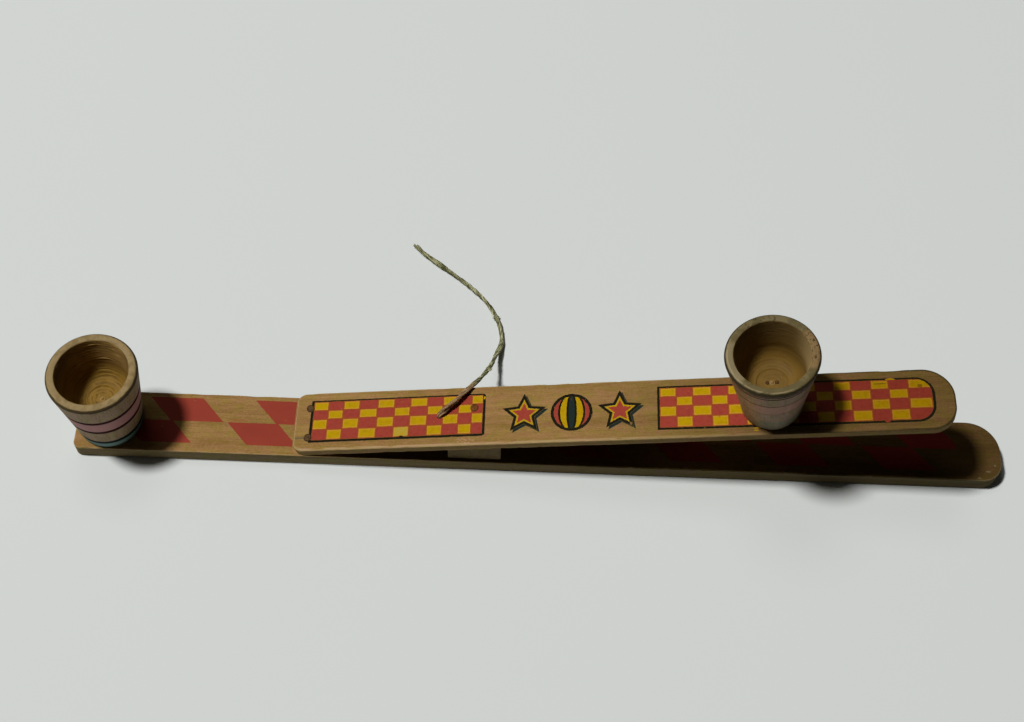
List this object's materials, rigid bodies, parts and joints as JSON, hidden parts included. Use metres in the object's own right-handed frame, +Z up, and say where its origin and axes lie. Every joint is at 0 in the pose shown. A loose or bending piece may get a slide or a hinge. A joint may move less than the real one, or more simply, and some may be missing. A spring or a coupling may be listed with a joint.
{
  "type": "spring catapult toy",
  "caption": "Wooden catapult toy: a springy lath nailed over a wedge block on a long base, with a turned cup on each and a string.",
  "frame": {"origin": "centre of the base board's underside", "axes": "+X along the boards towards the launch cup and the free end, +Y across the boards away from the viewer, towards the side where the string lies, +Z up"},
  "size_m": [0.3846, 0.1138, 0.0798],
  "materials": {
    "base_wood": "worn bare wood with painted red lozenges",
    "lath_wood": "worn bare wood with painted red and yellow checks",
    "block_wood": "bare pale wood",
    "cup_wood": "turned wood with pink and teal bands, worn varnish",
    "nail_steel": "rusted",
    "twine": "old two-ply jute"
  },
  "bodies": {
    "root": {"base_board": "base_wood", "wedge_block": "block_wood", "lath_root": "lath_wood", "catch_cup": "cup_wood", "lath_end_nails": "nail_steel", "lath_block_nail": "nail_steel", "block_base_nails": "nail_steel", "catch_cup_nails": "nail_steel", "string": "twine", "string_knot": "twine"},
    "spring_arm": {"lath_arm": "lath_wood", "launch_cup": "cup_wood", "launch_cup_brads": "nail_steel"}
  },
  "joints": [
    {"name": "lath_flex", "type": "hinge", "parent": "root", "child": "spring_arm", "pos_m": [0.00988, 0, 0.02515], "axis": [0, 1, 0], "range_deg": [-2, 15], "stiffness_Nm_per_rad": 14}
  ]
}
